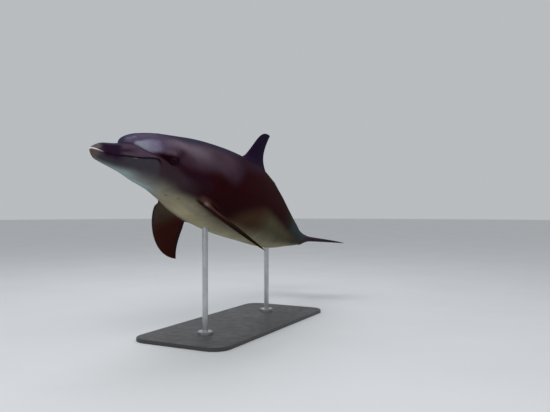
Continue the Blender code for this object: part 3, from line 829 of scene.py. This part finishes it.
def head_markings(lay, station, height, up, trunk, beak):
    """Melon, brow, beak and cheek, with painted highlights on the melon, brow and upper lip, a painted
    bluish sheen on the melon's top, and painted shade along the crease.
    """
    above_crease = ease(0.07, -0.07, trunk - beak) * ease(5.6, 5.8, station)
    melon = above_crease * ease(10, 22, up)
    lay(MELON, melon * ease(17, 10, station) * ease(82, 66, up))
    sheen_from = 76 - 8 * ease(7, 10, station)
    lay(BACK_SHEEN, 0.7 * melon * ease(sheen_from, sheen_from + 9, up) * ease(17, 10, station))
    # a painted glint on the front of the melon
    lay(MELON_SIDE_HIGHLIGHT, 0.5 * melon * stroke(station, up, MELON_GLEAM, 0.22))
    # the melon's patch: partly paler skin, partly a painted highlight where its side faces the light
    # from above
    soft = 3 + 4 * ease(8, 11, station)
    patch = melon * below_line(PATCH_LINE, station, up, soft) * ease(7.3, 7.8, station)
    lay(MELON_SIDE_HIGHLIGHT, patch * ease(13.2, 10.6, station))
    lay(MELON_PATCH_AND_HIGHLIGHT, patch * ease(10.9, 8.6, station))
    # a painted highlight on the brow's bulge, above the eye
    lay(BROW_HIGHLIGHT, 0.8 * stroke(station, up, BROW_GLEAM, 0.5))
    # beak: a dark band behind the tip, running back as a wedge under the crease
    front = ease(13.3, 11.9, station)
    below = (1 - above_crease) * front
    upper = ease(-1, 2, up)
    lay(UPPER_BEAK, below * ease(4.2, 5.8, station) * upper)
    # a painted highlight along the ridge of the upper lip
    lay(UPPER_LIP_HIGHLIGHT, 0.8 * below * bump(up, 16, 6) * ease(4.6, 6, station) * ease(9.5, 8, station))
    lay(CHEEK, below * (1 - upper))
    wedge = ease(9.2, 5.2, station) * bump(up, 31, 9)
    band = ease(1.2, 2.2, station) * ease(6.0, 4.2, station) * ease(-40, -4, up)
    lay(BEAK_BAND, below * np.maximum(0.9 * wedge, band))
    lay(BEAK_TOP, below * ease(52, 72, up) * ease(1.4, 2.6, station))
    crease = bump(trunk - beak, 0, 0.12) * ease(5.6, 6.0, station)
    lay(CREASE_SHADE, 0.9 * crease * ease(12.4, 11.0, station) * (height > 0.8))


def underside(lay, station, up):
    """Olive brown low on the flanks, the pale belly, and the throat, which pales by degrees."""
    behind = ease(30, 38, station)
    under = below_line(DARK_LINE, station, up, 12) * behind * ease(86, 66, station)
    lay(UNDER, under)
    lay(UNDER_REAR, under * ease(42, 54, station))
    soft = 12 + 5 * behind + 14 * ease(18.5, 15.5, station)
    lay(PALE, below_line(PALE_LINE, station, up, soft) * ease(12, 14.5, station))
    lay(PALE_BELLY, ease(-66, -82, up) * ease(16, 24, station) * ease(84, 56, station))
    lay(BELLY_RIDGE, 0.6 * ease(-80, -87, up) * ease(28, 36, station) * ease(56, 48, station))
    ramp = ease(-24, -84, up) ** (2.8 - ease(3, 8, station))
    ramp = ramp * ease(17, 12.5, station) * (0.15 + 0.85 * ease(1, 8, station))
    lay(THROAT_REAR, ramp)
    lay(THROAT, ramp * np.maximum(ease(10, 7, station), ease(-78, -86, up)))


def face_details(lay, station, height, up):
    """The eye's dark patch, a paler rim round the lids that is partly painted highlight, the pale tip
    and lip, a painted highlight on the lower lip, painted shade along the mouth line, and two old
    scars.
    """
    eye_patch = below_line(EYE_PATCH_TOP, station, up, 3.5)
    eye_patch = eye_patch * (1 - below_line(EYE_PATCH_FOOT, station, up, 3))
    lay(EYE_SHADE, eye_patch * ease(16.2, 15.2, station) * ease(10.8, 12.2, station))
    # a faint paler rim round the lids: partly their own paler tone, partly a painted highlight that
    # shows their form
    lid = eye_shape(station, height)[0] / MM
    lay(BROW_HIGHLIGHT, 0.08 * bump(lid, 9.0, 2.2))
    tip_up = up + 30 * ease(0.8, 0.2, station)
    lay(BEAK_END, ease(1.7, 0.8, station) * ease(12, 34, tip_up))
    lay(CHIN, 0.8 * ease(1.5, 0.4, station) * ease(6, -4, up))
    gap, share = from_path(station, height, MOUTH)
    above = height > line_at(MOUTH_FRONT, station)
    wide = 0.06 + 0.18 * ease(1.6, 0.1, station)
    lay(LIP, ease(wide + 0.06, wide - 0.06, gap) * ease(1.9, 1.3, station) * above)
    # a faint painted highlight on the lower lip, just below the mouth line
    lay(LIP, 0.3 * bump(gap, 0.17, 0.07) * bump(station, 7.7, 0.45) * ~above)
    # painted shade along the mouth's cut
    dark = (0.3 + 0.7 * ease(4.4, 5.4, station)) * ease(1.5, 3, station)
    lay(MOUTH_SHADE, bump(gap, 0, 4.6 * MM) * (1 - ease(0.90, 0.99, share)) * dark)
    for scar in SCARS:
        lay(CREASE_SHADE, 0.8 * stroke(station, up, scar, 0.12))


def fin_markings(lay, places, station, side, up, outside):
    """Plum dorsal fin, mauve flukes with slate tips, and brown flippers with dark edges; the near,
    left flipper is painted in shade, with painted light on its upper face by the root and a painted
    highlight at the root.
    """
    off_body = ease(0.15, 1.4, outside)
    lay(DORSAL, off_body * (up > 40) * (station < 80))
    lay(DORSAL_TIP, 0.6 * ease(4.0, 9.5, outside) * (up > 40) * (station < 80))
    lay(FLUKE, np.maximum(off_body * (station > 86), ease(93, 98, station)))
    lay(FLUKE_TIP, ease(5.5, 10.5, np.abs(side)) * (station > 86))
    off_body = ease(0.05, 0.45, outside) * (up < 20) * (station < 60)
    edges = [bezier(edge, np.linspace(0, 1, 200)) for edge in (FLIPPER_LEAD, FLIPPER_TRAIL)]
    for name, sign in (("left", 1), ("right", -1)):
        local = (places - pose(FLIPPERS[name][0])) @ flipper_turn(name).T / PERCENT
        here = (side * sign > 0) * (np.abs(local[:, 2]) < 2.5)
        chord, out, top = local[:, 0], local[:, 1], -sign * local[:, 2]
        pale_base = ease(-0.20, -0.50, top) * ease(7.0, 4.0, out) * (name == "left")
        fin = off_body * here * (1 - pale_base)
        front, back = (np.interp(out, edge[:, 1], edge[:, 0]) for edge in edges)
        share = (chord - front) / np.maximum(back - front, 0.3)
        lay(FLIPPER, fin)
        lay(FLIPPER_SHADE, fin * ease(7, 1.5, out + 3 * share) * ease(0.9, 0.5, share))
        rim = np.maximum(ease(0.08, 0.0, share), ease(0.78, 0.92, share))
        lay(FLIPPER_EDGE, 0.8 * fin * rim)
        foremost = fin * ease(0.45, 0.2, share)
        if name == "left":
            # painted shade over the whole near flipper
            lay(NEAR_FLIPPER_SHADE, fin)
            lay(FLANK, fin * ease(0.0, 0.2, top) * ease(8, 4, out))
            # painted light on the near flipper's upper face by its root, and a painted highlight at
            # the root
            lay(FLIPPER_TOP_LIGHT, 0.4 * foremost * ease(0.0, 0.35, top) * ease(8, 2, out))
            lay(FLIPPER_ROOT_HIGHLIGHT, 0.25 * foremost * bump(top, 0.4, 0.3) * bump(out, 0.1, 0.5))


def markings(places):
    """The skin's colour at its places over the stand."""
    points = straighten(places)
    station, side, height = points.T
    up = np.degrees(np.arctan2(height - column(CENTRES, 1, station), np.abs(side)))
    trunk, beak, _ = levels(station, side, height)
    colour = np.tile(BACK, (len(points), 1))

    def lay(new, amount):
        nonlocal colour
        colour = colour + (new - colour) * np.clip(amount, 0, 1)[:, None]

    flank_markings(lay, station, up)
    head_markings(lay, station, height, up, trunk, beak)
    lay(TAIL_SIDE, ease(61, 69, station))
    lay(TAIL, ease(68, 78, station))
    lay(TAIL_UNDER, ease(66, 74, station) * ease(-18, -40, up))
    underside(lay, station, up)
    face_details(lay, station, height, up)
    fin_markings(lay, places, station, side, up, level(station, side, height))
    return colour


def paint(obj, colour):
    """Give each point of an object its colour, for the shader to read."""
    layer = obj.data.color_attributes.new("Markings", "FLOAT_COLOR", "POINT")
    values = np.column_stack([colour, np.ones(len(colour))])
    layer.data.foreach_set("color", values.astype(np.float32).ravel())


# ---- materials -------------------------------------------------------
class Shader:
    """A material's node tree, with short ways to add its nodes."""

    def __init__(self, name, **constants):
        self.material = bpy.data.materials.new(name)
        self.material.use_nodes = True
        self.tree = self.material.node_tree
        self.surface = self.tree.nodes["Principled BSDF"]
        for socket, value in constants.items():
            self.surface.inputs[socket.replace("_", " ")].default_value = value

    def node(self, kind, **settings):
        made = self.tree.nodes.new("ShaderNode" + kind)
        for key, value in settings.items():
            if key in made.inputs:
                made.inputs[key].default_value = value
            else:
                setattr(made, key, value)
        return made

    def link(self, output, socket):
        self.tree.links.new(output, socket)

    def noise(self, scale, detail=3.0, stretch=(1, 1, 1)):
        place = self.node("TexCoord")
        mapping = self.node("Mapping", Scale=stretch)
        texture = self.node("TexNoise", Scale=scale, Detail=detail)
        self.link(place.outputs["Object"], mapping.inputs["Vector"])
        self.link(mapping.outputs[0], texture.inputs["Vector"])
        return texture.outputs["Fac"]

    def vary(self, value, low, high):
        """Spread a noise's usual values, 0.3 to 0.7, from low to high."""
        limits = {"From Min": 0.3, "From Max": 0.7, "To Min": low, "To Max": high}
        made = self.node("MapRange", **limits)
        self.link(value, made.inputs["Value"])
        return made.outputs[0]

    def tint(self, colour, factor):
        """One base colour, varied by a factor."""
        base = self.node("RGB")
        base.outputs[0].default_value = (*colour, 1)
        self.link(self.brighten(base.outputs[0], factor), self.surface.inputs["Base Color"])

    def roughness(self, noise, low, high):
        self.link(self.vary(noise, low, high), self.surface.inputs["Roughness"])

    def brighten(self, colour, factor):
        made = self.node("Mix", data_type="RGBA", blend_type="MULTIPLY")
        made.inputs["Factor"].default_value = 1.0
        self.link(colour, made.inputs["A"])
        self.link(factor, made.inputs["B"])
        return made.outputs["Result"]

    def product(self, a, b):
        made = self.node("Math", operation="MULTIPLY")
        self.link(a, made.inputs[0])
        self.link(b, made.inputs[1])
        return made.outputs[0]

    def bump(self, *layers):
        """Layers of (height, distance in metres, strength)."""
        last = None
        for height, distance, strength in layers:
            made = self.node("Bump", Distance=distance, Strength=strength)
            self.link(height, made.inputs["Height"])
            if last is not None:
                self.link(last, made.inputs["Normal"])
            last = made.outputs["Normal"]
        self.link(last, self.surface.inputs["Normal"])


def skin_material():
    m = Shader("skin", Specular_IOR_Level=0.0, Coat_Weight=0.05, Coat_Roughness=0.28)
    colour = m.node("Attribute", attribute_name="Markings").outputs["Color"]
    mottle = m.vary(m.noise(9, 5), 0.88, 1.12)
    cloud = m.vary(m.noise(45, 4), 0.93, 1.07)
    grain = m.vary(m.noise(700, 2), 0.95, 1.05)
    colour = m.brighten(colour, m.product(m.product(mottle, cloud), grain))
    m.link(colour, m.surface.inputs["Base Color"])
    m.roughness(m.noise(30, 5), 0.38, 0.52)
    m.bump((m.noise(14, 2), 0.004, 0.25), (m.noise(260, 3), 0.0006, 0.25),
           (m.noise(1500, 2), 0.0002, 0.3))
    return m.material


def eye_material():
    m = Shader("eye", Roughness=0.04, Specular_IOR_Level=0.07)
    colour = m.node("Attribute", attribute_name="Markings").outputs["Color"]
    m.link(m.brighten(colour, m.vary(m.noise(900, 4), 0.8, 1.2)), m.surface.inputs["Base Color"])
    return m.material


def painted_steel():
    m = Shader("satin_paint", Metallic=0.0, Specular_IOR_Level=0.5)
    m.tint((0.035, 0.037, 0.040), m.vary(m.noise(6, 4), 0.85, 1.15))
    m.roughness(m.noise(25, 5), 0.38, 0.52)
    m.bump((m.noise(900, 2), 0.0002, 0.35))
    return m.material


def brushed_steel():
    m = Shader("brushed_steel", Metallic=1.0)
    m.tint((0.50, 0.51, 0.52), m.vary(m.noise(20, 4), 0.9, 1.1))
    m.roughness(m.noise(60, 4, (1, 1, 20)), 0.25, 0.42)
    m.bump((m.noise(80, 3, (1, 1, 25)), 0.0002, 0.4))
    return m.material


def floor_material():
    m = Shader("floor", Specular_IOR_Level=0.2)
    m.tint((0.72, 0.73, 0.74), m.vary(m.noise(1.5, 5), 0.98, 1.02))
    m.roughness(m.noise(8, 4), 0.6, 0.75)
    return m.material


# ---- eyes ------------------------------------------------------------
IRIS, PUPIL = linear(27, 15, 11), linear(5, 4, 5)
SCLERA = linear(14, 8, 9)
CORNEA_RISE, CORNEA_REACH = 0.035, 0.42  # a share of the radius, and radians from the axis
IRIS_EDGE = 0.52                         # its radius, as a share of the ball's
EYE_RINGS, EYE_SIDES = 48, 64


def make_eye(side, material):
    """A ball with a clear bulge over the iris; its axis points out of the head."""
    sign = 1 if side == "left" else -1
    centre = pose(EYE * (1, sign, 1))
    _, left, up = frame_at(EYE[0])
    out = left * sign
    back = np.cross(up, left)
    rings = []
    turns = np.arange(EYE_SIDES) * 2 * pi / EYE_SIDES
    for tilt in np.linspace(0, pi, EYE_RINGS + 2)[1:-1]:
        radius = EYE_RADIUS * (1 + CORNEA_RISE * bump(tilt, 0, CORNEA_REACH))
        rings.append([centre + radius * (out * cos(tilt) + sin(tilt) * (back * cos(t) + up * sin(t)))
                      for t in turns])
    front = centre + EYE_RADIUS * (1 + CORNEA_RISE) * out
    eye = tube("eye_ball_" + side, np.array(rings), front, centre - EYE_RADIUS * out)
    local = (vertices(eye.data) - centre) / EYE_RADIUS
    a, b, c = local @ back, local @ up, local @ out
    away = np.hypot(a, b) + (c < 0) * 2
    colour = np.tile(SCLERA, (len(local), 1))
    iris = ease(IRIS_EDGE, IRIS_EDGE - 0.06, away)[:, None]
    turn = np.arctan2(b, a)
    streak = 1 + 0.25 * np.sin(turn * 37) * np.sin(turn * 11 + 1)
    colour += (IRIS * streak[:, None] - colour) * iris
    # the pupil is a horseshoe: an oval, less the lobe of iris that hangs into it from above
    oval_edge, lobe_edge = np.hypot(a, b * 1.3) - 0.30, 0.16 - np.hypot(a, (b - 0.2) * 1.2)
    pupil = ease(0.05, -0.05, np.maximum(oval_edge, lobe_edge))
    colour += (PUPIL - colour) * pupil[:, None] * (c > 0)[:, None]
    colour += (PUPIL - colour) * 0.8 * bump(away, IRIS_EDGE, 0.05)[:, None]
    paint(eye, colour)
    eye.data.shade_smooth()
    eye.data.materials.append(material)
    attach(eye, "root")
    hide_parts("eye_" + side)


# ---- the scene -------------------------------------------------------
CAMERA_PLACE = (-3.0814, -1.8003, 0.7011)
CAMERA_HEADING = 63.1      # degrees from +Y towards +X
CAMERA_LENS = 39.41
FLOOR_REACH, FLOOR_SIDES = 30.0, 96


def add_light(name, place, target, size, power, colour=(1, 1, 1)):
    """A soft round light that faces its target."""
    data = bpy.data.lights.new(name, "AREA")
    data.shape = "DISK"
    data.size = size
    data.energy = power
    data.color = colour
    light = bpy.data.objects.new(name, data)
    light.location = place
    light.rotation_mode = "QUATERNION"
    light.rotation_quaternion = (Vector(target) - Vector(place)).to_track_quat("-Z", "Y")
    bpy.context.collection.objects.link(light)


def make_floor():
    steps = np.arange(FLOOR_SIDES) * 2 * pi / FLOOR_SIDES
    verts = [(FLOOR_REACH * cos(a), FLOOR_REACH * sin(a), 0.0) for a in steps]
    floor = add_object("floor", verts, [tuple(range(FLOOR_SIDES))])
    floor.data.materials.append(floor_material())


def make_camera():
    data = bpy.data.cameras.new("camera")
    data.sensor_width = 36.0
    data.lens = CAMERA_LENS
    camera = bpy.data.objects.new("camera", data)
    camera.location = CAMERA_PLACE
    camera.rotation_euler = (radians(90), 0, -radians(CAMERA_HEADING))
    bpy.context.collection.objects.link(camera)
    bpy.context.scene.camera = camera


def make_world():
    world = bpy.data.worlds.new("studio")
    world.use_nodes = True
    background = world.node_tree.nodes["Background"]
    background.inputs["Color"].default_value = (0.84, 0.87, 0.90, 1)
    background.inputs["Strength"].default_value = 0.58
    bpy.context.scene.world = world
    bpy.context.scene.view_settings.view_transform = "Standard"


def give(node, material):
    """Put a material on a CAD node."""
    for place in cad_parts[node].material_slots:
        place.material = material


FLESH = ["upper_jaw", "lower_jaw", "head", "thorax", "abdomen", "tail_stock", "dorsal_fin",
         "flipper_left", "flipper_right", "fluke_left", "fluke_right"]

eye_look = eye_material()
skin = make_skin()
paint(skin, markings(vertices(skin.data)))
skin.data.materials.append(skin_material())
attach(skin, "root")
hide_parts(*FLESH)
for side in ("left", "right"):
    make_eye(side, eye_look)

steel = brushed_steel()
for node in ("stand_rod_front", "stand_rod_rear", "stand_collar_front", "stand_collar_rear"):
    give(node, steel)
give("stand_base", painted_steel())

make_floor()
make_world()
make_camera()
add_light("key", (-3.0, -2.2, 4.0), (-0.3, 0, 0.8), 2.4, 75)
add_light("fill", (-4.2, 1.2, 1.8), (-0.5, 0, 0.7), 2.5, 12)
add_light("top", (0.8, 1.2, 4.2), (0.2, 0, 0.7), 3.0, 55, (0.92, 0.96, 1.0))
